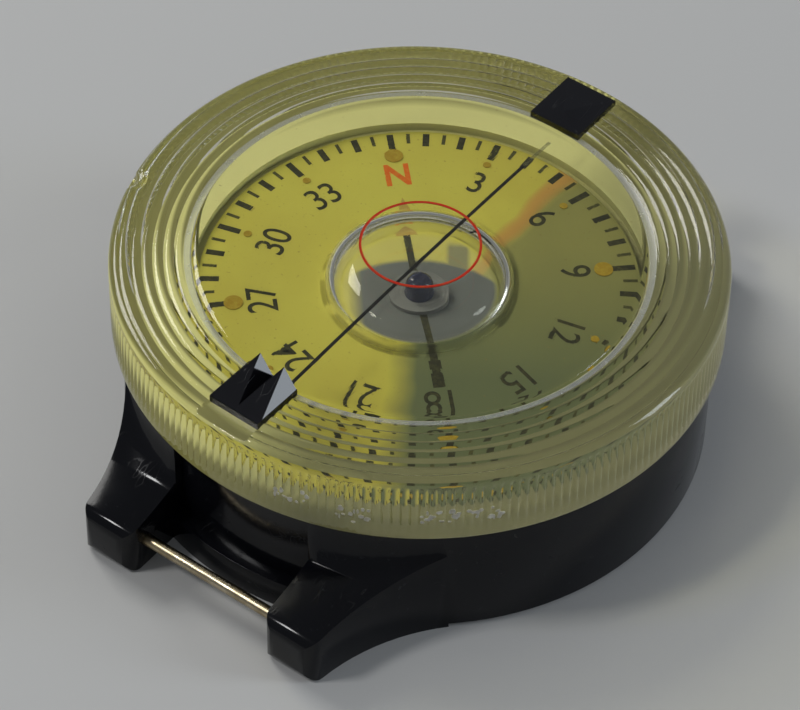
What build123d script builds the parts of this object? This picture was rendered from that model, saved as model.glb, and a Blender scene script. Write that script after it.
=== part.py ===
"""Wrist compass: a black strap case, a clear ribbed head that turns in it, and a floating card in the head.

Millimetres. +Z up, the case stands on z = 0 around the Z axis. The strap runs along Y, the notch sight is
at -Y and the roof sight at +Y, so the course line lies along Y.
"""

import os
from math import cos, radians, sin

from build123d import *

# ---- driving dimensions ---------------------------------------------------------------------------------

# case
CASE_RADIUS = 29.0
CASE_HEIGHT = 13.5
CASE_FLOOR = 2.2
CASE_EDGE = 0.5
BORE_RADIUS = 24.4
RECESS_RADIUS = 27.5
RECESS_FLOOR = 12.6

# strap lugs and bars
LUG_GAP = 16.0
LUG_END = 35.1
LUG_END_HALF_WIDTH = 14.0
LUG_END_HEIGHT = 5.6
LUG_SPREAD = 43.0
LUG_FLANK_POINT = (15.4, -28.2)
LUG_CORNER = 1.6
LUG_TOP_ROUND = 1.5
LUG_BOTTOM_ROUND = 1.8
SILL_RADIUS = 29.6
SILL_HEIGHT = 3.4
RELIEF_DEPTH = 0.8
RELIEF_TOP = 11.6
BAR_RADIUS = 0.6
BAR_OFFSET = 32.4
BAR_HEIGHT = 3.3
BAR_SEAT = 3.0

# running fits
RUNNING_FIT = 0.1
AXIAL_FIT = 0.15

# head: capsule cup
CUP_RADIUS = BORE_RADIUS - RUNNING_FIT
CUP_BORE = 22.0
CUP_BOTTOM = 4.4
CUP_FLOOR = 6.2
CUP_TOP = 13.75
LEDGE_RADIUS = 21.15
LEDGE_TOP = 11.8
FLANGE_RADIUS = 27.3
FLANGE_BOTTOM = RECESS_FLOOR + AXIAL_FIT

# head: snap ring in a groove of the cup and a groove of the case
SNAP_INNER = 23.3
SNAP_OUTER = 25.2
SNAP_BOTTOM = 7.6
SNAP_HEIGHT = 1.0
SNAP_GAP_ANGLE = 8.0
SNAP_PLAY = 0.2

# head: diaphragm under the cup's floor
DIAPHRAGM_OPENING = 13.0
DIAPHRAGM_RADIUS = 15.8
DIAPHRAGM_SEAT_RADIUS = 16.0
DIAPHRAGM_SEAT = 5.3
DIAPHRAGM_THICKNESS = 0.25
DIAPHRAGM_WAVE = 0.35
DIAPHRAGM_WAVES = 4
CLAMP_INNER = 13.4
CLAMP_HEIGHT = 0.6

# head: bezel ring, crystal and their marks
BEZEL_RADIUS = 30.0
BEZEL_BOTTOM = 13.8
BEZEL_TOP = 21.8
BEZEL_BORE = 22.1
BEZEL_SHOULDER = 0.9
RIDGE_PITCH = 1.1
RIDGE_COUNT = 5
FIRST_GROOVE = 23.45
GROOVE_RADIUS = 0.4
GROOVE_DEPTH = 0.14
CRYSTAL_RADIUS = 22.0
CRYSTAL_BOTTOM = 18.2
CRYSTAL_EDGE = 21.9
CRYSTAL_CROWN = 22.7
LINE_WIDTH = 0.34
LINE_DEPTH = 0.12
LINE_START = -21.4
LINE_END = 17.0
LINE_GROOVE_END = 21.4
CENTER_RING_RADIUS = 5.81
CENTER_RING_WIDTH = 0.25
CENTER_RING_BOTTOM = 22.5

# head: sights
SIGHT_WIDTH = 5.8
SIGHT_SEAT = 21.5
REAR_TURN = -1.5
REAR_INNER = 22.05
REAR_OUTER = 27.75
REAR_TOP = 22.3
REAR_PEAK = 24.4
REAR_POINT_INSET = 0.15
REAR_STRIP = 0.7
FRONT_INNER = 22.2
FRONT_OUTER = 28.7
FRONT_TOP = 22.2
FRONT_PEAK = 22.75
FRONT_POINT_INSET = 1.6
PYRAMID_MARGIN = 0.05
PYRAMID_ROOT = 0.02
PYRAMID_TIP = 0.06

# head: pivot
BRIDGE_LENGTH = 42.0
BRIDGE_WIDTH = 5.0
BRIDGE_THICKNESS = 0.8
SCREW_OFFSET = 18.8
SCREW_RADIUS = 0.9
SCREW_HEAD_RADIUS = 1.7
SCREW_HEAD_HEIGHT = 0.9
SCREW_DEPTH = 1.2
SCREW_SLOT = 0.4
POST_RADIUS = 0.8
POST_SHOULDER = 12.3
POST_TIP = 13.35
POST_TIP_RADIUS = 0.08

# head: filling hole in the cup's floor
PLUG_OFFSET = 19.0
PLUG_RADIUS = 1.45
PLUG_HEAD_RADIUS = 2.2
PLUG_HEAD_TOP = 5.1
PLUG_SEAT_RADIUS = 2.3
WASHER_TOP = 5.35

# card
NORTH_ANGLE = 135.0
CARD_RADIUS = 21.3
CARD_BOTTOM = 12.2
CARD_THICKNESS = 0.4
CARD_TOP = CARD_BOTTOM + CARD_THICKNESS
MAGNET_LENGTH = 20.0
MAGNET_WIDTH = 2.6
MAGNET_HEIGHT = 1.6
MAGNET_OFFSET = 5.0
FLOAT_RADIUS = 9.5
FLOAT_WALL = 0.45
FLOAT_SIDE_TOP = 14.4
FLOAT_CROWN = 5.2
FLOAT_TOP = 17.0
HUB_RADIUS = 1.35
HUB_BASE_RADIUS = 2.9
HUB_BASE_TOP = 13.4
HUB_BORE = 1.05
HUB_TOP = 15.3
HUB_ROUND = 0.9
JEWEL_RADIUS = 0.9
JEWEL_BOTTOM = 13.5
JEWEL_TOP = 13.95
JEWEL_CONE_RADIUS = 0.5
JEWEL_CONE_DEPTH = 0.2
DOT_CIRCLE = 17.9
BIG_DOT_RADIUS = 0.92
SMALL_DOT_RADIUS = 0.4
DOT_HEIGHT = 0.12

# friction felt under the head
FELT_OUTER = 23.4
FELT_INNER = 20.6


# ---- helpers --------------------------------------------------------------------------------------------


def finish(piece, label):
    """Name a piece and write it as one STEP file."""
    piece.part.label = label
    export_step(piece.part, f"parts/{label}.step")
    print(f"{label}: {len(piece.part.solids())} solid(s), {piece.part.volume:.1f} mm3")


def turned(points):
    """A solid of revolution about Z from a closed outline of (radius, height) points."""
    with BuildPart() as body:
        with BuildSketch(Plane.XZ):
            with BuildLine():
                Polyline(*points, close=True)
            make_face()
        revolve(axis=Axis.Z)
    return body.part


# ---- case -----------------------------------------------------------------------------------------------


def make_lug():
    """The lug at +X, -Y: a concave flank in plan, a top that falls from the wall to a rounded end."""
    half_gap = LUG_GAP / 2
    wall_radius = CASE_RADIUS - 0.02
    wall_point = (wall_radius * sin(radians(LUG_SPREAD)), -wall_radius * cos(radians(LUG_SPREAD)))
    with BuildPart() as lug:
        with BuildSketch(Plane.XY) as plan:
            with BuildLine():
                Polyline(wall_point, (17.5, -19.5), (half_gap, -26.0), (half_gap, -LUG_END))
                Line((half_gap, -LUG_END), (LUG_END_HALF_WIDTH, -LUG_END))
                ThreePointArc((LUG_END_HALF_WIDTH, -LUG_END), LUG_FLANK_POINT, wall_point)
            make_face()
            fillet(plan.vertices().group_by(Axis.Y)[0], radius=LUG_CORNER)
        extrude(amount=CASE_HEIGHT)
        with BuildSketch(Plane.YZ) as side:
            with BuildLine():
                Polyline((-LUG_END, LUG_END_HEIGHT), (-LUG_END, 0), (-18.0, 0), (-18.0, 12.4))
                ThreePointArc((-18.0, 12.4), (-27.0, 7.7), (-LUG_END, LUG_END_HEIGHT))
            make_face()
            end_points = side.vertices().group_by(Axis.X)[0].sort_by(Axis.Y)
            fillet(end_points[0], radius=LUG_BOTTOM_ROUND)
            fillet(side.vertices().sort_by(Axis.X)[0:2].sort_by(Axis.Y)[-1], radius=LUG_TOP_ROUND)
        extrude(amount=2 * CASE_RADIUS, mode=Mode.INTERSECT)
    return lug.part


def make_sills():
    """Low thicker bands at the foot of the case's wall between the lugs."""
    inner = BORE_RADIUS + 1.0
    with BuildPart() as sills:
        add(turned([(inner, 0), (SILL_RADIUS, 0), (SILL_RADIUS, SILL_HEIGHT), (inner, SILL_HEIGHT)]))
        Box(LUG_GAP + LUG_CORNER, 4 * CASE_RADIUS, 4 * CASE_HEIGHT, mode=Mode.INTERSECT)
    return sills.part


def make_strap_relief():
    """Shallow band to cut from the case's wall between the lugs, above the sill, where the strap passes."""
    outline = [
        (CASE_RADIUS - RELIEF_DEPTH, SILL_HEIGHT),
        (CASE_RADIUS + 1.0, SILL_HEIGHT),
        (CASE_RADIUS + 1.0, RELIEF_TOP + RELIEF_DEPTH),
        (CASE_RADIUS, RELIEF_TOP + RELIEF_DEPTH),
        (CASE_RADIUS - RELIEF_DEPTH, RELIEF_TOP),
    ]
    with BuildPart() as relief:
        add(turned(outline))
        Box(LUG_GAP, 4 * CASE_RADIUS, 4 * CASE_HEIGHT, mode=Mode.INTERSECT)
    return relief.part


def make_case_body():
    """Cup with a bore for the head, a recess for its flange, a snap ring groove and four strap lugs."""
    lug = make_lug()
    relief = make_strap_relief()
    with BuildPart() as case_body:
        with BuildSketch(Plane.XZ):
            with BuildLine():
                Polyline(
                    (0, 0),
                    (CASE_RADIUS - CASE_EDGE, 0),
                    (CASE_RADIUS, CASE_EDGE),
                    (CASE_RADIUS, CASE_HEIGHT - CASE_EDGE),
                    (CASE_RADIUS - CASE_EDGE, CASE_HEIGHT),
                    (0, CASE_HEIGHT),
                    close=True,
                )
            make_face()
        revolve(axis=Axis.Z)
        add(relief, mode=Mode.SUBTRACT)
        add(make_sills())
        add(lug)
        add(mirror(lug, about=Plane.YZ))
        add(mirror(lug, about=Plane.XZ))
        add(mirror(mirror(lug, about=Plane.XZ), about=Plane.YZ))
        # bore, flange recess and snap ring groove
        with BuildSketch(Plane.XY.offset(CASE_FLOOR)):
            Circle(BORE_RADIUS)
        extrude(amount=CASE_HEIGHT, mode=Mode.SUBTRACT)
        with BuildSketch(Plane.XY.offset(RECESS_FLOOR)):
            Circle(RECESS_RADIUS)
        extrude(amount=CASE_HEIGHT, mode=Mode.SUBTRACT)
        with BuildSketch(Plane.XY.offset(SNAP_BOTTOM - SNAP_PLAY)):
            Circle(SNAP_OUTER + SNAP_PLAY)
        extrude(amount=SNAP_HEIGHT + 2 * SNAP_PLAY, mode=Mode.SUBTRACT)
        # blind seats for the strap bars
        for side in (-1, 1):
            with BuildSketch(Plane.YZ.offset(-LUG_GAP / 2 - BAR_SEAT)):
                with Locations((side * BAR_OFFSET, BAR_HEIGHT)):
                    Circle(BAR_RADIUS)
            extrude(amount=LUG_GAP + 2 * BAR_SEAT, mode=Mode.SUBTRACT)
    return case_body


def make_strap_bar(side):
    """Plain steel rod pressed into a pair of lugs."""
    with BuildPart() as strap_bar:
        with BuildSketch(Plane.YZ.offset(-LUG_GAP / 2 - BAR_SEAT)):
            with Locations((side * BAR_OFFSET, BAR_HEIGHT)):
                Circle(BAR_RADIUS)
        extrude(amount=LUG_GAP + 2 * BAR_SEAT)
    return strap_bar


def make_friction_felt():
    """Felt ring on the case floor that rubs on the cup and holds the head where it is set."""
    with BuildPart() as friction_felt:
        with BuildSketch(Plane.XY.offset(CASE_FLOOR)):
            Circle(FELT_OUTER)
            Circle(FELT_INNER, mode=Mode.SUBTRACT)
        extrude(amount=CUP_BOTTOM - CASE_FLOOR - RUNNING_FIT)
    return friction_felt


# ---- head -----------------------------------------------------------------------------------------------


def make_capsule_cup():
    """Opaque cup for the liquid: floor, wall with the snap groove and a ledge, flange under the bezel."""
    body = turned(
        [
            (DIAPHRAGM_OPENING, CUP_FLOOR),
            (DIAPHRAGM_OPENING, DIAPHRAGM_SEAT),
            (DIAPHRAGM_SEAT_RADIUS, DIAPHRAGM_SEAT),
            (DIAPHRAGM_SEAT_RADIUS, CUP_BOTTOM),
            (CUP_RADIUS, CUP_BOTTOM),
            (CUP_RADIUS, SNAP_BOTTOM),
            (SNAP_INNER, SNAP_BOTTOM),
            (SNAP_INNER, SNAP_BOTTOM + SNAP_HEIGHT + SNAP_PLAY),
            (CUP_RADIUS, SNAP_BOTTOM + SNAP_HEIGHT + SNAP_PLAY),
            (CUP_RADIUS, FLANGE_BOTTOM),
            (FLANGE_RADIUS, FLANGE_BOTTOM),
            (FLANGE_RADIUS, CUP_TOP),
            (CUP_BORE, CUP_TOP),
            (CUP_BORE, LEDGE_TOP),
            (LEDGE_RADIUS, LEDGE_TOP),
            (LEDGE_RADIUS, CUP_FLOOR),
        ]
    )
    with BuildPart() as capsule_cup:
        add(body)
        with BuildSketch(Plane.XY.offset(CUP_FLOOR - SCREW_DEPTH)):
            with Locations((-SCREW_OFFSET, 0), (SCREW_OFFSET, 0)):
                Circle(SCREW_RADIUS)
        extrude(amount=SCREW_DEPTH, mode=Mode.SUBTRACT)
        with BuildSketch(Plane.XY.offset(CUP_BOTTOM)):
            with Locations((0, -PLUG_OFFSET)):
                Circle(PLUG_RADIUS)
        extrude(amount=CUP_FLOOR - CUP_BOTTOM, mode=Mode.SUBTRACT)
        with BuildSketch(Plane.XY.offset(CUP_BOTTOM)):
            with Locations((0, -PLUG_OFFSET)):
                Circle(PLUG_SEAT_RADIUS)
        extrude(amount=WASHER_TOP - CUP_BOTTOM, mode=Mode.SUBTRACT)
    return capsule_cup


def make_head_snap_ring():
    """Split ring of square wire that locks the head in the case and lets it turn."""
    with BuildPart() as head_snap_ring:
        with BuildSketch(Plane.XY.offset(SNAP_BOTTOM)):
            Circle(SNAP_OUTER)
            Circle(SNAP_INNER, mode=Mode.SUBTRACT)
            with Locations((SNAP_INNER, 0)):
                gap = 2 * SNAP_OUTER * sin(radians(SNAP_GAP_ANGLE / 2))
                Rectangle(2 * SNAP_OUTER - SNAP_INNER, gap, mode=Mode.SUBTRACT)
        extrude(amount=SNAP_HEIGHT)
    return head_snap_ring


def make_expansion_diaphragm():
    """Thin corrugated disc: concentric round waves between a flat middle and a flat rim."""
    underside = DIAPHRAGM_SEAT - DIAPHRAGM_THICKNESS
    wave_start = DIAPHRAGM_OPENING - 1.0
    pitch = wave_start / (DIAPHRAGM_WAVES + 1)
    with BuildPart() as expansion_diaphragm:
        with BuildSketch(Plane.XZ):
            with BuildLine():
                Line((0, underside), (0, DIAPHRAGM_SEAT))
                for level, outward in ((DIAPHRAGM_SEAT, True), (underside, False)):
                    radius = pitch
                    Line((0, level), (radius, level))
                    for _ in range(DIAPHRAGM_WAVES):
                        ThreePointArc(
                            (radius, level),
                            (radius + pitch / 2, level + DIAPHRAGM_WAVE),
                            (radius + pitch, level),
                        )
                        radius = radius + pitch
                    Line((radius, level), (DIAPHRAGM_RADIUS, level))
                Line((DIAPHRAGM_RADIUS, underside), (DIAPHRAGM_RADIUS, DIAPHRAGM_SEAT))
            make_face()
        revolve(axis=Axis.Z)
    return expansion_diaphragm


def make_diaphragm_ring():
    """Flat ring pressed under the diaphragm's rim."""
    top = DIAPHRAGM_SEAT - DIAPHRAGM_THICKNESS
    with BuildPart() as diaphragm_ring:
        with BuildSketch(Plane.XY.offset(top - CLAMP_HEIGHT)):
            Circle(DIAPHRAGM_SEAT_RADIUS)
            Circle(CLAMP_INNER, mode=Mode.SUBTRACT)
        extrude(amount=CLAMP_HEIGHT)
    return diaphragm_ring


def make_pivot_bridge():
    """Brass strip across the cup's floor, screwed at both ends, with the post pressed in its middle."""
    with BuildPart() as pivot_bridge:
        with BuildSketch(Plane.XY.offset(CUP_FLOOR)):
            SlotOverall(BRIDGE_LENGTH, BRIDGE_WIDTH)
            with Locations((-SCREW_OFFSET, 0), (SCREW_OFFSET, 0)):
                Circle(SCREW_RADIUS, mode=Mode.SUBTRACT)
            Circle(POST_RADIUS, mode=Mode.SUBTRACT)
        extrude(amount=BRIDGE_THICKNESS)
    return pivot_bridge


def make_bridge_screws():
    """Two slotted cheese-head screws through the bridge into the cup's floor."""
    seat = CUP_FLOOR + BRIDGE_THICKNESS
    spots = [(-SCREW_OFFSET, 0), (SCREW_OFFSET, 0)]
    with BuildPart() as bridge_screws:
        with BuildSketch(Plane.XY.offset(CUP_FLOOR - SCREW_DEPTH)):
            with Locations(*spots):
                Circle(SCREW_RADIUS)
        extrude(amount=SCREW_DEPTH + BRIDGE_THICKNESS)
        with BuildSketch(Plane.XY.offset(seat)):
            with Locations(*spots):
                Circle(SCREW_HEAD_RADIUS)
        extrude(amount=SCREW_HEAD_HEIGHT)
        with BuildSketch(Plane.XY.offset(seat + SCREW_HEAD_HEIGHT / 2)):
            with Locations(*spots):
                Rectangle(2 * SCREW_HEAD_RADIUS, SCREW_SLOT, rotation=35)
        extrude(amount=SCREW_HEAD_HEIGHT, mode=Mode.SUBTRACT)
    return bridge_screws


def make_pivot_post():
    """Hardened post with a fine point under the jewel."""
    outline = [
        (0, CUP_FLOOR),
        (POST_RADIUS, CUP_FLOOR),
        (POST_RADIUS, POST_SHOULDER),
        (POST_TIP_RADIUS, POST_TIP),
        (0, POST_TIP),
    ]
    with BuildPart() as pivot_post:
        add(turned(outline))
    return pivot_post


def make_filler_plug():
    """Slotted plug in the filling hole, with its head below the cup's floor."""
    slot_top = CUP_BOTTOM + 0.35
    with BuildPart() as filler_plug:
        with BuildSketch(Plane.XY.offset(CUP_BOTTOM)):
            with Locations((0, -PLUG_OFFSET)):
                Circle(PLUG_HEAD_RADIUS)
        extrude(amount=PLUG_HEAD_TOP - CUP_BOTTOM)
        with BuildSketch(Plane.XY.offset(PLUG_HEAD_TOP)):
            with Locations((0, -PLUG_OFFSET)):
                Circle(PLUG_RADIUS)
        extrude(amount=CUP_FLOOR - PLUG_HEAD_TOP)
        with BuildSketch(Plane.XY.offset(CUP_BOTTOM)):
            with Locations((0, -PLUG_OFFSET)):
                Rectangle(2 * PLUG_HEAD_RADIUS, SCREW_SLOT)
        extrude(amount=slot_top - CUP_BOTTOM, mode=Mode.SUBTRACT)
    return filler_plug


def make_filler_washer():
    """Soft sealing washer between the plug's head and the cup."""
    with BuildPart() as filler_washer:
        with BuildSketch(Plane.XY.offset(PLUG_HEAD_TOP)):
            with Locations((0, -PLUG_OFFSET)):
                Circle(PLUG_HEAD_RADIUS)
                Circle(PLUG_RADIUS, mode=Mode.SUBTRACT)
        extrude(amount=WASHER_TOP - PLUG_HEAD_TOP)
    return filler_washer


def make_bezel_ring():
    """Clear grip ring: reeded top, rounded shoulder and two radial seats for the sights."""
    with BuildPart() as bezel_ring:
        with BuildSketch(Plane.XZ) as outline:
            with Locations(((BEZEL_BORE + BEZEL_RADIUS) / 2, (BEZEL_BOTTOM + BEZEL_TOP) / 2)):
                Rectangle(BEZEL_RADIUS - BEZEL_BORE, BEZEL_TOP - BEZEL_BOTTOM)
            shoulder = outline.vertices().group_by(Axis.X)[-1].sort_by(Axis.Y)[-1]
            fillet(shoulder, radius=BEZEL_SHOULDER)
        revolve(axis=Axis.Z)
        with BuildSketch(Plane.XZ):
            for i in range(RIDGE_COUNT):
                radius = FIRST_GROOVE + i * RIDGE_PITCH
                with Locations((radius, BEZEL_TOP + GROOVE_RADIUS - GROOVE_DEPTH)):
                    Circle(GROOVE_RADIUS)
        revolve(axis=Axis.Z, mode=Mode.SUBTRACT)
        with BuildSketch(Plane.XY.offset(SIGHT_SEAT)):
            with Locations((0, BEZEL_RADIUS)):
                Rectangle(SIGHT_WIDTH, 2 * BEZEL_RADIUS)
            with Locations(Location((0, 0), REAR_TURN)):
                Rectangle(SIGHT_WIDTH, 2.2 * BEZEL_RADIUS, align=(Align.CENTER, Align.MAX))
        extrude(amount=BEZEL_TOP, mode=Mode.SUBTRACT)
    return bezel_ring


def make_crystal():
    """Thick clear plug with a slightly domed top, a line groove below and a ring groove on top."""
    with BuildPart() as crystal:
        with BuildSketch(Plane.XZ):
            with BuildLine():
                Line((0, CRYSTAL_BOTTOM), (CRYSTAL_RADIUS, CRYSTAL_BOTTOM))
                Line((CRYSTAL_RADIUS, CRYSTAL_BOTTOM), (CRYSTAL_RADIUS, CRYSTAL_EDGE))
                TangentArc((0, CRYSTAL_CROWN), (CRYSTAL_RADIUS, CRYSTAL_EDGE), tangent=(1, 0))
                Line((0, CRYSTAL_CROWN), (0, CRYSTAL_BOTTOM))
            make_face()
        revolve(axis=Axis.Z)
        with BuildSketch(Plane.XY.offset(CRYSTAL_BOTTOM)):
            Rectangle(LINE_WIDTH, 2 * LINE_GROOVE_END)
        extrude(amount=LINE_DEPTH, mode=Mode.SUBTRACT)
        with BuildSketch(Plane.XY.offset(CENTER_RING_BOTTOM)):
            Circle(CENTER_RING_RADIUS + CENTER_RING_WIDTH / 2)
            Circle(CENTER_RING_RADIUS - CENTER_RING_WIDTH / 2, mode=Mode.SUBTRACT)
        extrude(amount=1.0, mode=Mode.SUBTRACT)
    return crystal


def make_course_line():
    """Black inlay in the crystal's line groove."""
    with BuildPart() as course_line:
        with BuildSketch(Plane.XY.offset(CRYSTAL_BOTTOM)):
            with Locations((0, (LINE_START + LINE_END) / 2)):
                Rectangle(LINE_WIDTH, LINE_END - LINE_START)
        extrude(amount=LINE_DEPTH)
    return course_line


def make_center_ring():
    """Red inlay in the crystal's ring groove, level with the domed top."""
    rise = CRYSTAL_CROWN - CRYSTAL_EDGE
    dome_radius = (CRYSTAL_RADIUS**2 + rise**2) / (2 * rise)
    top = CRYSTAL_CROWN - CENTER_RING_RADIUS**2 / (2 * dome_radius)
    with BuildPart() as center_ring:
        with BuildSketch(Plane.XY.offset(CENTER_RING_BOTTOM)):
            Circle(CENTER_RING_RADIUS + CENTER_RING_WIDTH / 2)
            Circle(CENTER_RING_RADIUS - CENTER_RING_WIDTH / 2, mode=Mode.SUBTRACT)
        extrude(amount=top - CENTER_RING_BOTTOM)
    return center_ring


def sight_foot(inner, outer, top):
    """Flat foot of a sight on +Y."""
    with BuildPart() as foot:
        with BuildSketch(Plane.XY.offset(SIGHT_SEAT)):
            with Locations((0, (inner + outer) / 2)):
                Rectangle(SIGHT_WIDTH, outer - inner)
        extrude(amount=top - SIGHT_SEAT)
    return foot.part


def make_rear_sight():
    """Notch sight: two pyramids side by side with their points at the inner end."""
    start = REAR_INNER + PYRAMID_MARGIN
    length = REAR_OUTER - REAR_STRIP - start
    width = SIGHT_WIDTH / 2 - PYRAMID_MARGIN
    with BuildPart() as sight:
        add(sight_foot(REAR_INNER, REAR_OUTER, REAR_TOP))
        for offset in (-width / 2, width / 2):
            with BuildSketch(Plane.XY.offset(REAR_TOP - PYRAMID_ROOT)):
                with Locations((offset, start + length / 2)):
                    Rectangle(width, length)
            with BuildSketch(Plane.XY.offset(REAR_PEAK)):
                with Locations((offset, REAR_INNER + REAR_POINT_INSET)):
                    Rectangle(PYRAMID_TIP, PYRAMID_TIP)
            loft(ruled=True)
    with BuildPart() as rear_sight:
        with Locations(Rotation(0, 0, 180 + REAR_TURN)):
            add(sight.part)
    return rear_sight


def make_front_sight():
    """Roof sight: one low pyramid nearly as wide as the foot."""
    with BuildPart() as front_sight:
        add(sight_foot(FRONT_INNER, FRONT_OUTER, FRONT_TOP))
        with BuildSketch(Plane.XY.offset(FRONT_TOP - PYRAMID_ROOT)):
            with Locations((0, (FRONT_INNER + FRONT_OUTER) / 2)):
                Rectangle(SIGHT_WIDTH - 2 * PYRAMID_MARGIN, FRONT_OUTER - FRONT_INNER - 2 * PYRAMID_MARGIN)
        with BuildSketch(Plane.XY.offset(FRONT_PEAK)):
            with Locations((0, FRONT_INNER + FRONT_POINT_INSET)):
                Rectangle(PYRAMID_TIP, PYRAMID_TIP)
        loft(ruled=True)
    return front_sight


# ---- card -----------------------------------------------------------------------------------------------


def card_plane(height):
    """Plane at this height whose X axis points to the card's north."""
    return Plane(origin=(0, 0, height), x_dir=(cos(radians(NORTH_ANGLE)), sin(radians(NORTH_ANGLE)), 0))


def make_dial_card():
    """Thin floating card with a hole for its hub."""
    with BuildPart() as dial_card:
        with BuildSketch(Plane.XY.offset(CARD_BOTTOM)):
            Circle(CARD_RADIUS)
            Circle(HUB_RADIUS, mode=Mode.SUBTRACT)
        extrude(amount=CARD_THICKNESS)
    return dial_card


def make_magnet(side):
    """Bar magnet under the card, parallel to its north-south axis."""
    with BuildPart() as magnet:
        with BuildSketch(card_plane(CARD_BOTTOM - MAGNET_HEIGHT)):
            with Locations((0, side * MAGNET_OFFSET)):
                Rectangle(MAGNET_LENGTH, MAGNET_WIDTH)
        extrude(amount=MAGNET_HEIGHT)
    return magnet


def float_outline(inset):
    """Half section of the float this far inside its outer skin: upright side, round shoulder, crown."""
    side = FLOAT_RADIUS - inset
    top = FLOAT_TOP - inset
    with BuildSketch(Plane.XZ) as outline:
        with BuildLine():
            Line((0, CARD_TOP), (side, CARD_TOP))
            Line((side, CARD_TOP), (side, FLOAT_SIDE_TOP))
            EllipticalCenterArc(
                (FLOAT_CROWN, FLOAT_SIDE_TOP),
                x_radius=side - FLOAT_CROWN,
                y_radius=top - FLOAT_SIDE_TOP,
                start_angle=0,
                arc_size=90,
            )
            Line((FLOAT_CROWN, top), (0, top))
            Line((0, top), (0, CARD_TOP))
        make_face()
    return outline.sketch


def make_float_dome():
    """Clear hollow dome, open below and cemented on the card."""
    with BuildPart() as float_dome:
        add(float_outline(0.0))
        revolve(axis=Axis.Z)
        add(float_outline(FLOAT_WALL))
        revolve(axis=Axis.Z, mode=Mode.SUBTRACT)
    return float_dome


def make_jewel_cup():
    """Dark hub on a flat round base that holds the jewel over the pivot point."""
    with BuildPart() as jewel_cup:
        with BuildSketch(Plane.XZ):
            with BuildLine():
                Polyline(
                    (HUB_BORE, CARD_BOTTOM),
                    (HUB_RADIUS, CARD_BOTTOM),
                    (HUB_RADIUS, CARD_TOP),
                    (HUB_BASE_RADIUS, CARD_TOP),
                    (HUB_BASE_RADIUS, HUB_BASE_TOP),
                    (HUB_RADIUS, HUB_BASE_TOP),
                    (HUB_RADIUS, HUB_TOP - HUB_ROUND),
                )
                RadiusArc(
                    (HUB_RADIUS, HUB_TOP - HUB_ROUND),
                    (HUB_RADIUS - HUB_ROUND, HUB_TOP),
                    radius=-HUB_ROUND,
                )
                Polyline(
                    (HUB_RADIUS - HUB_ROUND, HUB_TOP),
                    (0, HUB_TOP),
                    (0, JEWEL_TOP),
                    (JEWEL_RADIUS, JEWEL_TOP),
                    (JEWEL_RADIUS, JEWEL_BOTTOM),
                    (HUB_BORE, JEWEL_BOTTOM),
                    (HUB_BORE, CARD_BOTTOM),
                )
            make_face()
        revolve(axis=Axis.Z)
    return jewel_cup


def make_jewel():
    """Cup jewel with a shallow cone above the point."""
    outline = [
        (0, JEWEL_BOTTOM + JEWEL_CONE_DEPTH),
        (JEWEL_CONE_RADIUS, JEWEL_BOTTOM),
        (JEWEL_RADIUS, JEWEL_BOTTOM),
        (JEWEL_RADIUS, JEWEL_TOP),
        (0, JEWEL_TOP),
    ]
    with BuildPart() as jewel:
        add(turned(outline))
    return jewel


def make_luminous_dots():
    """Twelve dots of luminous compound, large at the four quarters."""
    with BuildPart() as luminous_dots:
        with BuildSketch(card_plane(CARD_TOP)):
            with PolarLocations(DOT_CIRCLE, 4):
                Circle(BIG_DOT_RADIUS)
            for start in (30, 60):
                with PolarLocations(DOT_CIRCLE, 4, start_angle=start):
                    Circle(SMALL_DOT_RADIUS)
        extrude(amount=DOT_HEIGHT)
    return luminous_dots


# ---- assembly -------------------------------------------------------------------------------------------

os.makedirs("parts", exist_ok=True)

finish(make_case_body(), "case_body")
finish(make_strap_bar(-1), "strap_bar_rear")
finish(make_strap_bar(1), "strap_bar_front")
finish(make_friction_felt(), "friction_felt")

finish(make_capsule_cup(), "capsule_cup")
finish(make_head_snap_ring(), "head_snap_ring")
finish(make_expansion_diaphragm(), "expansion_diaphragm")
finish(make_diaphragm_ring(), "diaphragm_ring")
finish(make_pivot_bridge(), "pivot_bridge")
finish(make_bridge_screws(), "bridge_screws")
finish(make_pivot_post(), "pivot_post")
finish(make_filler_plug(), "filler_plug")
finish(make_filler_washer(), "filler_washer")
finish(make_bezel_ring(), "bezel_ring")
finish(make_crystal(), "crystal")
finish(make_course_line(), "course_line")
finish(make_center_ring(), "center_ring")
finish(make_rear_sight(), "rear_sight")
finish(make_front_sight(), "front_sight")

finish(make_dial_card(), "dial_card")
finish(make_magnet(-1), "magnet_left")
finish(make_magnet(1), "magnet_right")
finish(make_float_dome(), "float_dome")
finish(make_jewel_cup(), "jewel_cup")
finish(make_jewel(), "jewel")
finish(make_luminous_dots(), "luminous_dots")
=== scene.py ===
"""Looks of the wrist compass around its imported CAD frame. Metres, +Z up, the case stands on z = 0."""

import math
import random

import bmesh
import bpy
from mathutils import Matrix, Vector


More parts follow.
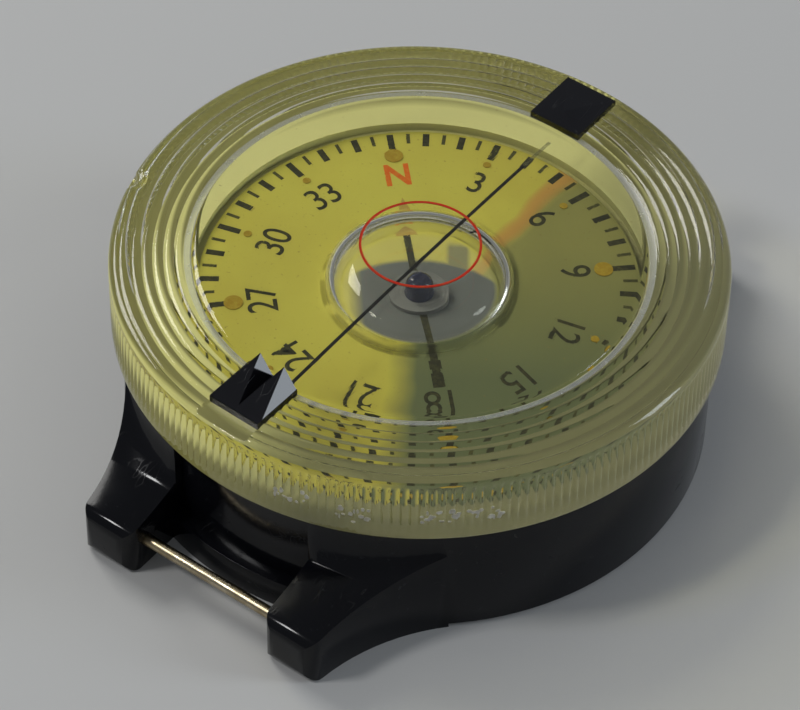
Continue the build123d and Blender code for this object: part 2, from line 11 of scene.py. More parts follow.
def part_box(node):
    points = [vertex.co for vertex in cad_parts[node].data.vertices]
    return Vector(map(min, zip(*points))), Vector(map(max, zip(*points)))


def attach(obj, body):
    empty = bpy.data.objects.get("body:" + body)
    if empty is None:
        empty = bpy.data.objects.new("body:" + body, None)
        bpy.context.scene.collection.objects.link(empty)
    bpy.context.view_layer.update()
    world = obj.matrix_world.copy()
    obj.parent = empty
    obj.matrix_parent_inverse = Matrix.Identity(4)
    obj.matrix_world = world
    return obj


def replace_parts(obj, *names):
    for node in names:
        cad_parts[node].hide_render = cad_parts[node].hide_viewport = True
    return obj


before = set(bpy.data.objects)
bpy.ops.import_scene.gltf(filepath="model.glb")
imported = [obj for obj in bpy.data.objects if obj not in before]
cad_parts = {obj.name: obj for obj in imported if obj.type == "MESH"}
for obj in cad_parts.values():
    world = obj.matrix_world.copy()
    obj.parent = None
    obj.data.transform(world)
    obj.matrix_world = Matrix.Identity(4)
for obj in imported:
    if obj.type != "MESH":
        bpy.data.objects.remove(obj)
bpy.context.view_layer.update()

MM = 0.001

# ---- sizes read from the frame ----------------------------------------------------------------------------

bezel_low, bezel_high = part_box("bezel_ring")
crystal_low, crystal_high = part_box("crystal")
float_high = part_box("float_dome")[1]
line_low, line_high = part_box("course_line")

BEZEL_R = bezel_high.x
CRYSTAL_R = crystal_high.x
CARD_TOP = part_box("dial_card")[1].z
FLOAT_R = float_high.x
SIGHT_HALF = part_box("front_sight")[1].x
SIGHT_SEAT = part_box("rear_sight")[0].z
REAR_TURN = math.radians(-1.5)
NORTH = math.radians(135)


# ---- materials --------------------------------------------------------------------------------------------


def new_material(name):
    """A material with an empty node tree. Returns it, its nodes and its links."""
    material = bpy.data.materials.new(name)
    material.use_nodes = True
    tree = material.node_tree
    tree.nodes.clear()
    return material, tree.nodes, tree.links


def add_noise(nodes, links, scale, detail=4.0, rough=0.55, stretch=None):
    """Noise in object coordinates, features 1/scale metres across. Returns its value socket."""
    coords = nodes.new("ShaderNodeTexCoord")
    noise = nodes.new("ShaderNodeTexNoise")
    noise.inputs["Scale"].default_value = scale
    noise.inputs["Detail"].default_value = detail
    noise.inputs["Roughness"].default_value = rough
    source = coords.outputs["Object"]
    if stretch is not None:
        mapping = nodes.new("ShaderNodeMapping")
        mapping.inputs["Scale"].default_value = stretch
        links.new(source, mapping.inputs["Vector"])
        source = mapping.outputs["Vector"]
    links.new(source, noise.inputs["Vector"])
    return noise.outputs["Fac"]


def spread(nodes, links, value, low, high, start=0.3, end=0.7):
    """Maps a value from start..end to low..high, clamped."""
    remap = nodes.new("ShaderNodeMapRange")
    remap.inputs["From Min"].default_value = start
    remap.inputs["From Max"].default_value = end
    remap.inputs["To Min"].default_value = low
    remap.inputs["To Max"].default_value = high
    links.new(value, remap.inputs["Value"])
    return remap.outputs["Result"]


def mix_colours(nodes, links, factor, first, second):
    """Colour between two, each an RGB triple or a socket."""
    mix = nodes.new("ShaderNodeMix")
    mix.data_type = "RGBA"
    links.new(factor, mix.inputs["Factor"])
    for name, value in (("A", first), ("B", second)):
        socket = [s for s in mix.inputs if s.name == name and s.type == "RGBA"][0]
        if isinstance(value, tuple):
            socket.default_value = (*value, 1.0)
        else:
            links.new(value, socket)
    return [s for s in mix.outputs if s.type == "RGBA"][0]


def combine(nodes, links, first, second=None, operation="MULTIPLY"):
    """One value socket combined with another or with a number, or changed on its own."""
    node = nodes.new("ShaderNodeMath")
    node.operation = operation
    links.new(first, node.inputs[0])
    if isinstance(second, float):
        node.inputs[1].default_value = second
    elif second is not None:
        links.new(second, node.inputs[1])
    return node.outputs[0]


def add_bump(nodes, links, heights, distance, strength=1.0):
    """Bump from one or more (socket, weight) heights. Returns its normal socket."""
    total = None
    for value, weight in heights:
        scaled = combine(nodes, links, value, weight)
        total = scaled if total is None else combine(nodes, links, total, scaled, "ADD")
    bump = nodes.new("ShaderNodeBump")
    bump.inputs["Distance"].default_value = distance
    bump.inputs["Strength"].default_value = strength
    links.new(total, bump.inputs["Height"])
    return bump.outputs["Normal"]


def finish_surface(nodes, links, shader):
    """Joins a shader to the material's output."""
    output = nodes.new("ShaderNodeOutputMaterial")
    links.new(shader, output.inputs["Surface"])


def along(nodes, links, direction):
    """Distance along a direction in object coordinates. Returns its socket."""
    coords = nodes.new("ShaderNodeTexCoord")
    dot = nodes.new("ShaderNodeVectorMath")
    dot.operation = "DOT_PRODUCT"
    dot.inputs[1].default_value = direction
    links.new(coords.outputs["Object"], dot.inputs[0])
    return dot.outputs["Value"]


def from_axis(nodes, links):
    """Distance from the turning axis. Returns its socket."""
    coords = nodes.new("ShaderNodeTexCoord")
    flat = nodes.new("ShaderNodeVectorMath")
    flat.operation = "MULTIPLY"
    flat.inputs[1].default_value = (1.0, 1.0, 0.0)
    links.new(coords.outputs["Object"], flat.inputs[0])
    size = nodes.new("ShaderNodeVectorMath")
    size.operation = "LENGTH"
    links.new(flat.outputs["Vector"], size.inputs[0])
    return size.outputs["Value"]


def scratches(nodes, links, scale, turn):
    """Sparse thin lines: the zero crossings of stretched noise. Returns 1 on a scratch."""
    coords = nodes.new("ShaderNodeTexCoord")
    mapping = nodes.new("ShaderNodeMapping")
    mapping.inputs["Rotation"].default_value = (0.3, 0.2, turn)
    mapping.inputs["Scale"].default_value = (1.0, 0.08, 1.0)
    links.new(coords.outputs["Object"], mapping.inputs["Vector"])
    noise = nodes.new("ShaderNodeTexNoise")
    noise.inputs["Scale"].default_value = scale
    noise.inputs["Detail"].default_value = 1.0
    links.new(mapping.outputs["Vector"], noise.inputs["Vector"])
    offset = combine(nodes, links, noise.outputs["Fac"], 0.5, "SUBTRACT")
    size = combine(nodes, links, offset, None, "ABSOLUTE")
    line = spread(nodes, links, size, 1.0, 0.0, 0.0, 0.02)
    patches = spread(nodes, links, add_noise(nodes, links, 260.0, 2.0), 0.0, 1.0, 0.5, 0.62)
    return combine(nodes, links, line, patches)


def moulded_black(name, colour, gloss, shine):
    """Glossy black moulding: faint flow marks, fine scratches and a thin film of dust in places."""
    material, nodes, links = new_material(name)
    shader = nodes.new("ShaderNodeBsdfPrincipled")
    flow = add_noise(nodes, links, 90.0, 3.0)
    grain = add_noise(nodes, links, 2600.0, 3.0)
    dust = spread(nodes, links, add_noise(nodes, links, 1400.0, 6.0, 0.7), 0.0, 1.0, 0.64, 0.74)
    lines = scratches(nodes, links, 900.0, 0.7)
    lighter = tuple(1.6 * c for c in colour)
    tone = mix_colours(nodes, links, spread(nodes, links, flow, 0.0, 1.0), colour, lighter)
    dusty = mix_colours(nodes, links, dust, tone, (0.03, 0.032, 0.036))
    links.new(dusty, shader.inputs["Base Color"])
    rough = combine(nodes, links, spread(nodes, links, flow, gloss, gloss + 0.08),
                    spread(nodes, links, lines, 0.0, 0.25, 0.0, 1.0), "ADD")
    links.new(rough, shader.inputs["Roughness"])
    normal = add_bump(nodes, links, [(flow, 1.0), (grain, 0.06), (lines, -0.05)], 0.00006, 0.5)
    links.new(normal, shader.inputs["Normal"])
    shader.inputs["IOR"].default_value = 1.5
    shader.inputs["Specular IOR Level"].default_value = shine
    finish_surface(nodes, links, shader.outputs[0])
    return material


def drawn_metal(name, dark, bright, rough, stretch=(1.0, 30.0, 30.0)):
    """Metal with fine lines along one axis and patches of tarnish."""
    material, nodes, links = new_material(name)
    shader = nodes.new("ShaderNodeBsdfPrincipled")
    lines = add_noise(nodes, links, 220.0, 4.0, 0.6, stretch)
    patches = add_noise(nodes, links, 350.0, 5.0, 0.65)
    links.new(mix_colours(nodes, links, spread(nodes, links, patches, 0.0, 1.0), dark, bright),
              shader.inputs["Base Color"])
    shader.inputs["Metallic"].default_value = 1.0
    links.new(spread(nodes, links, patches, rough + 0.18, rough), shader.inputs["Roughness"])
    normal = add_bump(nodes, links, [(lines, 1.0), (patches, 0.3)], 0.00003, 0.6)
    links.new(normal, shader.inputs["Normal"])
    finish_surface(nodes, links, shader.outputs[0])
    return material


def turned_hub(name, cap, base):
    """Dark glossy cap on a dull grey base, both with fine turning rings."""
    material, nodes, links = new_material(name)
    shader = nodes.new("ShaderNodeBsdfPrincipled")
    size = from_axis(nodes, links)
    patches = add_noise(nodes, links, 900.0, 4.0)
    outside = spread(nodes, links, size, 0.0, 1.0, 0.0014, 0.00145)
    tone = mix_colours(nodes, links, patches, cap, tuple(1.8 * c for c in cap))
    dull = mix_colours(nodes, links, patches, base, tuple(0.75 * c for c in base))
    links.new(mix_colours(nodes, links, outside, tone, dull), shader.inputs["Base Color"])
    links.new(spread(nodes, links, outside, 0.12, 0.5, 0.0, 1.0), shader.inputs["Roughness"])
    turning = combine(nodes, links, combine(nodes, links, size, 16000.0), None, "SINE")
    normal = add_bump(nodes, links, [(turning, 1.0), (patches, 0.5)], 0.000012, 0.5)
    links.new(normal, shader.inputs["Normal"])
    finish_surface(nodes, links, shader.outputs[0])
    return material


def soft_ring(name, dark, bright):
    """Felt or rubber: matte, fibrous or mottled."""
    material, nodes, links = new_material(name)
    shader = nodes.new("ShaderNodeBsdfPrincipled")
    fibres = add_noise(nodes, links, 1800.0, 6.0, 0.7)
    links.new(mix_colours(nodes, links, spread(nodes, links, fibres, 0.0, 1.0), dark, bright),
              shader.inputs["Base Color"])
    shader.inputs["Roughness"].default_value = 0.9
    normal = add_bump(nodes, links, [(fibres, 1.0)], 0.00015, 0.8)
    links.new(normal, shader.inputs["Normal"])
    finish_surface(nodes, links, shader.outputs[0])
    return material


def cream_tone(nodes, links, light, deep):
    """Aged cream-yellow: cloudy tone changes. Returns colour, clouds and speckle sockets."""
    clouds = add_noise(nodes, links, 70.0, 3.0)
    speckle = spread(nodes, links, add_noise(nodes, links, 3200.0, 2.0), 0.0, 1.0, 0.68, 0.76)
    tone = mix_colours(nodes, links, spread(nodes, links, clouds, 0.0, 1.0, 0.35, 0.65), light, deep)
    return tone, clouds, speckle


def cream_finish(nodes, links, colour, clouds, speckle):
    """Matte shader with the speckle and a faint unevenness."""
    shader = nodes.new("ShaderNodeBsdfPrincipled")
    spotted = mix_colours(nodes, links, combine(nodes, links, speckle, 0.6), colour, (0.16, 0.12, 0.02))
    links.new(spotted, shader.inputs["Base Color"])
    shader.inputs["Roughness"].default_value = 0.62
    normal = add_bump(nodes, links, [(clouds, 1.0), (speckle, 0.1)], 0.00004, 0.4)
    links.new(normal, shader.inputs["Normal"])
    finish_surface(nodes, links, shader.outputs[0])


def cup_painted_shade(name, light, deep, pale, dark):
    """Cloudy cream-yellow moulding, paler near the bore, with painted shade: darker olive towards one side.
    """
    material, nodes, links = new_material(name)
    tone, clouds, speckle = cream_tone(nodes, links, light, deep)
    rim = spread(nodes, links, from_axis(nodes, links), 1.0, 0.0, 0.0245, 0.026)
    toned = mix_colours(nodes, links, rim, tone, pale)
    # Painted shade: darker olive towards one side.
    painted_side_shade = spread(nodes, links, along(nodes, links, (0.97, -0.24, 0.0)), 0.0, 0.9, -0.004, 0.015)
    cream_finish(nodes, links, mix_colours(nodes, links, painted_side_shade, toned, dark), clouds, speckle)
    return material


# Directions across the card, in the card's own frame, along which the painted shadow and its edges are laid.
EAST = (1.0, -0.03, 0.0)
SOUTH_EAST = (0.798, 0.603, 0.0)
ACROSS = (0.812, 0.584, 0.0)
DEEPWARD = (-0.584, 0.812, 0.0)


def card_painted_shadow(name, light, deep, olive, dark, orange, grey):
    """Card face in cloudy cream-yellow, with painted shadow over one side (olive, going darker across it) and
    an orange painted fringe of light along its edge, and under the float painted light with a grey painted
    shadow. Every limit is a distance in metres from the axis, along one of the directions above."""
    material, nodes, links = new_material(name)
    tone, clouds, speckle = cream_tone(nodes, links, light, deep)
    wobble = spread(nodes, links, clouds, -0.0009, 0.0009)
    east = combine(nodes, links, along(nodes, links, EAST), wobble, "ADD")
    south = combine(nodes, links, along(nodes, links, SOUTH_EAST), wobble, "ADD")
    # Painted shadow: the side past these two edges, with a wavering edge.
    past_east = spread(nodes, links, east, 0.0, 1.0, 0.0012, 0.004)
    past_south = spread(nodes, links, south, 0.0, 1.0, -0.0032, -0.0004)
    side = combine(nodes, links, past_east, past_south)
    # The orange fringe along the painted shadow's edge is painted light.
    fringe = combine(nodes, links, side, spread(nodes, links, past_east, 2.6, 0.0, 0.2, 0.85))
    across = along(nodes, links, ACROSS)
    deepward = along(nodes, links, DEEPWARD)
    # The painted shadow goes from olive to darker against the DEEPWARD direction.
    shadow_colour = mix_colours(nodes, links, spread(nodes, links, deepward, 0.0, 1.0, 0.006, -0.012), olive, dark)
    painted_side_shade = mix_colours(nodes, links, side, tone, shadow_colour)
    painted_side_shade = mix_colours(nodes, links, fringe, painted_side_shade, orange)
    # Grey painted shadow under the float, with a curved edge and a rounded patch beside it.
    bend = combine(nodes, links, combine(nodes, links, across, across), -45.0)
    edge = combine(nodes, links, deepward, bend, "SUBTRACT")
    shadow_pool = combine(nodes, links, spread(nodes, links, edge, 1.0, 0.0, 0.0048, 0.0054),
                   spread(nodes, links, across, 0.0, 1.0, -0.0078, -0.0058))
    lobe_across = combine(nodes, links, across, -0.0037, "ADD")
    lobe_side = combine(nodes, links, lobe_across, None, "ABSOLUTE")
    shadow_lobe = combine(nodes, links, spread(nodes, links, lobe_side, 0.7, 0.0, 0.0008, 0.0013),
                   spread(nodes, links, deepward, 1.0, 0.0, 0.007, 0.0078))
    both = combine(nodes, links, shadow_pool, shadow_lobe, "MAXIMUM")
    under = spread(nodes, links, from_axis(nodes, links), 1.0, 0.0, 0.0082, 0.009)
    shade = combine(nodes, links, both, under)
    # Under the float the colour is drawn 40% towards pale yellow: painted light.
    paler = mix_colours(nodes, links, combine(nodes, links, under, 0.4), painted_side_shade, (0.36, 0.34, 0.13))
    shaded = mix_colours(nodes, links, shade, paler, grey)
    cream_finish(nodes, links, shaded, clouds, speckle)
    return material


def painted(name, colour, worn, rough=0.5):
    """Thin paint or print, slightly uneven and worn."""
    material, nodes, links = new_material(name)
    shader = nodes.new("ShaderNodeBsdfPrincipled")
    wear = add_noise(nodes, links, 1500.0, 5.0, 0.65)
    links.new(mix_colours(nodes, links, spread(nodes, links, wear, 0.0, 1.0, 0.45, 0.75), colour, worn),
              shader.inputs["Base Color"])
    shader.inputs["Roughness"].default_value = rough
    shader.inputs["Specular IOR Level"].default_value = 0.12
    normal = add_bump(nodes, links, [(wear, 1.0)], 0.00003, 0.5)
    links.new(normal, shader.inputs["Normal"])
    finish_surface(nodes, links, shader.outputs[0])
    return material


def clear_plastic(name, tint, rough, clearness=1.0, scratch_bump=0.000004):
    """Clear plastic that lamps shine through: refraction, fine scratches and slightly uneven gloss."""
    material, nodes, links = new_material(name)
    shader = nodes.new("ShaderNodeBsdfPrincipled")
    shader.inputs["Base Color"].default_value = (*tint, 1.0)
    shader.inputs["Transmission Weight"].default_value = clearness
    shader.inputs["IOR"].default_value = 1.49
    haze = add_noise(nodes, links, 500.0, 4.0)
    lines = scratches(nodes, links, 1300.0, 0.4)
    cross = scratches(nodes, links, 1100.0, 1.9)
    links.new(spread(nodes, links, haze, rough, rough + 0.03, 0.4, 0.7), shader.inputs["Roughness"])
    normal = add_bump(nodes, links, [(lines, -1.0), (cross, -1.0), (haze, 0.15)], scratch_bump, 0.35)
    links.new(normal, shader.inputs["Normal"])
    through = nodes.new("ShaderNodeBsdfTransparent")
    through.inputs["Color"].default_value = (*tint, 1.0)
    path = nodes.new("ShaderNodeLightPath")
    choose = nodes.new("ShaderNodeMixShader")
    links.new(path.outputs["Is Shadow Ray"], choose.inputs["Fac"])
    links.new(shader.outputs[0], choose.inputs[1])
    links.new(through.outputs[0], choose.inputs[2])
    finish_surface(nodes, links, choose.outputs[0])
    return material


def worn_groove(name, colour):
    """Groove that has lost most of its paint: thin broken colour over clear."""
    material, nodes, links = new_material(name)
    shader = nodes.new("ShaderNodeBsdfPrincipled")
    shader.inputs["Base Color"].default_value = (*colour, 1.0)
    shader.inputs["Roughness"].default_value = 0.6
    through = nodes.new("ShaderNodeBsdfTransparent")
    choose = nodes.new("ShaderNodeMixShader")
    wear = spread(nodes, links, add_noise(nodes, links, 2200.0, 4.0), 0.15, 0.45)
    links.new(wear, choose.inputs["Fac"])
    links.new(through.outputs[0], choose.inputs[1])
    links.new(shader.outputs[0], choose.inputs[2])
    finish_surface(nodes, links, choose.outputs[0])
    return material


def wetted(name):
    """A clear face in full contact with clear cement or liquid of the same index: nothing shows."""
    material, nodes, links = new_material(name)
    through = nodes.new("ShaderNodeBsdfTransparent")
    through.inputs["Color"].default_value = (1.0, 1.0, 1.0, 1.0)
    finish_surface(nodes, links, through.outputs[0])
    return material


CASE_BLACK = moulded_black("case_black", (0.0025, 0.0027, 0.004), 0.07, 0.25)
SIGHT_BLACK = moulded_black("sight_black", (0.003, 0.003, 0.0045), 0.06, 0.5)
BAR_STEEL = drawn_metal("bar_steel", (0.3, 0.22, 0.11), (0.62, 0.55, 0.4), 0.2)
BRASS = drawn_metal("turned_brass", (0.42, 0.28, 0.1), (0.72, 0.56, 0.28), 0.28, (1.0, 1.0, 25.0))
DARK_STEEL = drawn_metal("dark_steel", (0.08, 0.08, 0.09), (0.2, 0.2, 0.22), 0.35)
SPRING_STEEL = drawn_metal("spring_steel", (0.3, 0.3, 0.3), (0.5, 0.5, 0.5), 0.25)
HUB_METAL = turned_hub("hub_metal", (0.012, 0.014, 0.03), (0.13, 0.135, 0.13))
FELT = soft_ring("felt", (0.08, 0.07, 0.06), (0.2, 0.18, 0.15))
RUBBER = soft_ring("rubber", (0.012, 0.012, 0.012), (0.03, 0.03, 0.03))
# Olive and dark are the painted shadow's colours, orange its painted fringe of light, grey the painted shadow
# under the float.
CARD_CREAM_PAINTED_SHADE = card_painted_shadow("card_cream", light=(0.46, 0.425, 0.045), deep=(0.42, 0.37, 0.035),
                  olive=(0.2, 0.195, 0.04), dark=(0.085, 0.105, 0.035),
                  orange=(0.45, 0.2, 0.03), grey=(0.08, 0.088, 0.085))
# The cup's dark is its painted shade.
CUP_PAINTED_SHADE = cup_painted_shade("cup_cream", light=(0.22, 0.21, 0.06), deep=(0.19, 0.18, 0.045), pale=(0.6, 0.585, 0.23),
                     dark=(0.105, 0.105, 0.045))
PRINT_BLACK = painted("print_black", (0.026, 0.027, 0.012), (0.07, 0.066, 0.02))
PRINT_OLIVE = painted("print_olive", (0.05, 0.05, 0.015), (0.1, 0.095, 0.025))
PRINT_ORANGE = painted("print_orange", (0.58, 0.11, 0.008), (0.55, 0.2, 0.02))
PRINT_OCHRE = painted("print_ochre", (0.35, 0.24, 0.05), (0.45, 0.36, 0.1))
LUME = painted("lume", (0.3, 0.2, 0.015), (0.36, 0.28, 0.03), 0.7)
LINE_BLACK = painted("line_black", (0.006, 0.006, 0.006), (0.02, 0.02, 0.018))
RING_RED = painted("ring_red", (0.52, 0.025, 0.008), (0.45, 0.07, 0.02), 0.35)
RESIDUE = painted("residue", (0.5, 0.48, 0.4), (0.75, 0.74, 0.68), 0.8)
# Pale cement: partly its own colour, partly a painted highlight of the bright inner rim.
CEMENT_PAINTED_HIGHLIGHT = painted("cement", (0.34, 0.33, 0.2), (0.5, 0.49, 0.36), 0.4)
LINE_WORN = worn_groove("line_worn", (0.1, 0.1, 0.04))
CLEAR = clear_plastic("clear_acrylic", (0.985, 0.97, 0.86), 0.0)
CLEAR_RING = clear_plastic("clear_acrylic_ring", (0.975, 0.96, 0.85), 0.06)
CLEAR_RIBS = clear_plastic("clear_acrylic_ribs", (0.955, 0.935, 0.8), 0.06)
# The inner lip's roughness is a frosted finish; its partly opaque pale bluish-white is a painted highlight of
# the bright inner rim.
LIP_PAINTED_HIGHLIGHT = clear_plastic("clear_acrylic_lip_painted_highlight", (0.86, 0.88, 0.92), 0.25, 0.75)
FLOAT_CLEAR = clear_plastic("float_clear", (0.97, 0.97, 0.95), 0.0)
JEWEL = clear_plastic("jewel_red", (0.8, 0.12, 0.15), 0.0, scratch_bump=0.000002)
WETTED = wetted("wetted_face")


# ---- mesh helpers -----------------------------------------------------------------------------------------


def put_in_scene(name, mesh, body):
    """A mesh as a piece that rides on a body."""
    piece = bpy.data.objects.new(name, mesh)
    bpy.context.scene.collection.objects.link(piece)
    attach(piece, body)
    return piece


def add_piece(name, points, faces, materials, body, indices=None, sharp=40.0):
    """A smooth-shaded mesh piece with sharp edges past an angle, riding on a body."""
    mesh = bpy.data.meshes.new(name)
    mesh.from_pydata(points, [], faces)
    for material in materials:
        mesh.materials.append(material)
    if indices is not None:
        mesh.polygons.foreach_set("material_index", indices)
    mesh.polygons.foreach_set("use_smooth", [True] * len(mesh.polygons))
    mesh.validate()
    mesh.update()
    mesh.set_sharp_from_angle(angle=math.radians(sharp))
    return put_in_scene(name, mesh, body)


def lathe(profile, columns, place):
    """Closed ring of profile points turned about Z. place(radius, height, angle) gives each vertex.
    The profile runs anticlockwise in (radius, height), so that normals point out."""
    points = []
    faces = []
    count = len(profile)
    for i in range(columns):
        angle = 2 * math.pi * i / columns
        for radius, height in profile:
            points.append(place(radius, height, angle))
    for i in range(columns):
        near = i * count
        far = ((i + 1) % columns) * count
        for j in range(count):
            k = (j + 1) % count
            faces.append((near + j, far + j, far + k, near + k))
    return points, faces


def on_circle(radius, height, angle):
    """Point at this radius, height and angle."""
    return (radius * math.cos(angle), radius * math.sin(angle), height)


def arc(center, radius, start, end, steps):
    """Points of an arc in (radius, height), angles in degrees."""
    found = []
    for i in range(steps + 1):
        angle = math.radians(start + (end - start) * i / steps)
        found.append((center[0] + radius * math.cos(angle), center[1] + radius * math.sin(angle)))
    return found


def outline_solid(outline, low, high):
    """Prism of a closed outline of (x, y) points, anticlockwise, between two heights."""
    count = len(outline)
    points = [(x, y, low) for x, y in outline] + [(x, y, high) for x, y in outline]
    faces = [tuple(reversed(range(count))), tuple(range(count, 2 * count))]
    for i in range(count):
        j = (i + 1) % count
        faces.append((i, j, count + j, count + i))
    return points, faces


def join_solids(solids):
    """Joins (points, faces) pairs into one."""
    points = []
    faces = []
    for some_points, some_faces in solids:
        start = len(points)
        points += some_points
        faces += [tuple(start + i for i in face) for face in some_faces]
    return points, faces


# ---- bezel ring -------------------------------------------------------------------------------------------

RIDGE_EDGES = [22.75, 23.7, 24.7, 25.75, 26.8, 27.9, 29.1]
RIDGE_SAG = 0.2 * MM
RIDGE_STEPS = 8
RIBS = 216
RIB_DEPTH = 0.22 * MM
RIB_COLUMNS = 6
RIB_STEPS = 14
RIB_FADE = 0.5 * MM
RIB_LOW = bezel_low.z + 1.2 * MM
RIB_HIGH = bezel_high.z - 1.0 * MM
WET_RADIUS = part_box("capsule_cup")[1].x
CEMENT_GAP = 0.1 * MM
FOOT_ROUND = 0.35 * MM
SHOULDER = 0.9 * MM
CHIP_ANGLE = math.radians(198)
CHIP_SPAN = math.radians(2.5)
CHIP_INNER = 28.6 * MM
CHIP_DEPTH = 0.45 * MM
CHIP_DROP = 0.3 * MM
SEAT_PLAY = 0.03 * MM


def bezel_profile():
    """Skin of the bezel ring from its inner bottom edge: underside, ribs, shoulder, ridges, bore."""
    bottom = bezel_low.z
    top = bezel_high.z
    bore = CRYSTAL_R + CEMENT_GAP
    profile = [(bore, bottom), (WET_RADIUS, bottom), (BEZEL_R - FOOT_ROUND, bottom)]
    profile += arc((BEZEL_R - FOOT_ROUND, bottom + FOOT_ROUND), FOOT_ROUND, -60, 0, 3)
    for i in range(RIB_STEPS + 1):
        profile.append((BEZEL_R, RIB_LOW + (RIB_HIGH - RIB_LOW) * i / RIB_STEPS))
    profile += arc((BEZEL_R - SHOULDER, top - SHOULDER), SHOULDER, 8, 90, 7)
    for outer, inner in zip(reversed(RIDGE_EDGES[1:]), reversed(RIDGE_EDGES[:-1])):
        for i in range(RIDGE_STEPS):
            u = i / RIDGE_STEPS
            radius = (outer + (inner - outer) * u) * MM
            profile.append((radius, top - RIDGE_SAG * (2 * u - 1) ** 2))
    profile.append((RIDGE_EDGES[0] * MM, top - RIDGE_SAG))
    profile.append((bore + 0.05 * MM, top - 0.3 * MM))
    profile.append((bore, top - 0.45 * MM))
    return profile


def place_bezel(radius, height, angle):
    """Bezel vertex: rounded ribs on the skirt, a chip on the shoulder, and the sights' seats in the top."""
    if radius > BEZEL_R - 0.01 * MM and RIB_LOW - 1e-6 < height < RIB_HIGH + 1e-6:
        ends = min(height - RIB_LOW, RIB_HIGH - height) / RIB_FADE
        depth = RIB_DEPTH * min(1.0, max(0.0, ends))
        radius = radius - depth * (1 - abs(math.sin(angle * RIBS / 2)))
    off_chip = abs(angle - CHIP_ANGLE) / CHIP_SPAN
    if off_chip < 1 and radius > CHIP_INNER and height > bezel_high.z - SHOULDER - 0.05 * MM:
        missing = (1 - off_chip ** 2) * (0.75 + 0.25 * math.sin(angle * 700) * math.sin(height * 9000))
        radius = radius - CHIP_DEPTH * missing
        height = height - CHIP_DROP * missing
    x, y, z = on_circle(radius, height, angle)
    across = x
    if y < 0:
        across = x * math.cos(REAR_TURN) + y * math.sin(REAR_TURN)
    if abs(across) < SIGHT_HALF + SEAT_PLAY and z > SIGHT_SEAT:
        z = SIGHT_SEAT
    return (x, y, z)


def make_bezel():
    """Clear grip ring in place of the plain CAD ring. Its bore and the inner part of its underside are
    wetted, the rest of the underside is cream with painted shade, its ribs have their own finish, and its
    inner lip has one with a painted highlight."""
    finishes = [CLEAR_RING, WETTED, CUP_PAINTED_SHADE, CLEAR_RIBS, LIP_PAINTED_HIGHLIGHT]
    clear, wetted_face, cream, ribs, lip = range(len(finishes))
    profile = bezel_profile()
    columns = RIBS * RIB_COLUMNS
    points, faces = lathe(profile, columns, place_bezel)
    count = len(profile)
    slots = []
    for j in range(count):
        inner = min(profile[j][0], profile[(j + 1) % count][0])
        outer = max(profile[j][0], profile[(j + 1) % count][0])
        if j in (0, count - 1):
            slots.append(wetted_face)
        elif j == 1:
            slots.append(cream)
        elif inner > BEZEL_R - 0.01 * MM:
            slots.append(ribs)
        elif outer < RIDGE_EDGES[0] * MM + 1e-6:
            slots.append(lip)
        else:
            slots.append(clear)
    slots = slots * columns
    ring = add_piece("bezel_ring_clear", points, faces, finishes, "head", slots, 50)
    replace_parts(ring, "bezel_ring")


make_bezel()


# ---- crystal, cement, residue and the worn end of the line ------------------------------------------------

CRYSTAL_EDGE = 21.9 * MM
CRYSTAL_BEVEL = 0.15 * MM
CRYSTAL_STEPS = 40
COLUMNS = 360
# A turned profile that closes on the axis stops this far from it, so that no edge has zero length.
PINHOLE = 0.02 * MM
CEMENT_OFFSET = 0.08 * MM
CEMENT_DROP = 0.47 * MM
CEMENT_RADIUS = 0.075 * MM
FLAKES = [
    # first and last angle in degrees, lowest and highest in mm, how many
    (-80, -73, 16.4, 18.0, 12),
    (-68, -62, 15.2, 17.5, 14),
    (-53, -38, 16.3, 17.7, 34),
]
FLAKE_CORNERS = 7
WORN_END = 21.4 * MM


def make_crystal():
    """Thick clear plug: only its domed top meets air, its side and underside are wetted."""
    profile = [
        (PINHOLE, crystal_low.z),
        (CRYSTAL_R, crystal_low.z),
        (CRYSTAL_R, CRYSTAL_EDGE - CRYSTAL_BEVEL),
    ]
    rise = crystal_high.z - CRYSTAL_EDGE
    for i in range(CRYSTAL_STEPS + 1):
        radius = (CRYSTAL_R - CRYSTAL_BEVEL) * (1 - i / CRYSTAL_STEPS) + PINHOLE
        profile.append((radius, CRYSTAL_EDGE + rise * (1 - (radius / CRYSTAL_R) ** 2)))
    points, faces = lathe(profile, COLUMNS, on_circle)
    count = len(profile)
    wet = {0, 1, count - 1}
    indices = [1 if j in wet else 0 for j in range(count)] * COLUMNS
    plug = add_piece("crystal_clear", points, faces, [CLEAR, WETTED], "head", indices, 50)
    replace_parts(plug, "crystal")


make_crystal()


def make_cement():
    """Bead of cement in the joint between the crystal and the bezel ring. Its pale colour is partly the
    cement's own and partly a painted highlight of the bright inner rim.
    """
    middle = (CRYSTAL_R + CEMENT_OFFSET, bezel_high.z - CEMENT_DROP)
    profile = arc(middle, CEMENT_RADIUS, 0, 360, 10)[:-1]
    points, faces = lathe(profile, COLUMNS, on_circle)
    add_piece("cement_bead", points, faces, [CEMENT_PAINTED_HIGHLIGHT], "head")


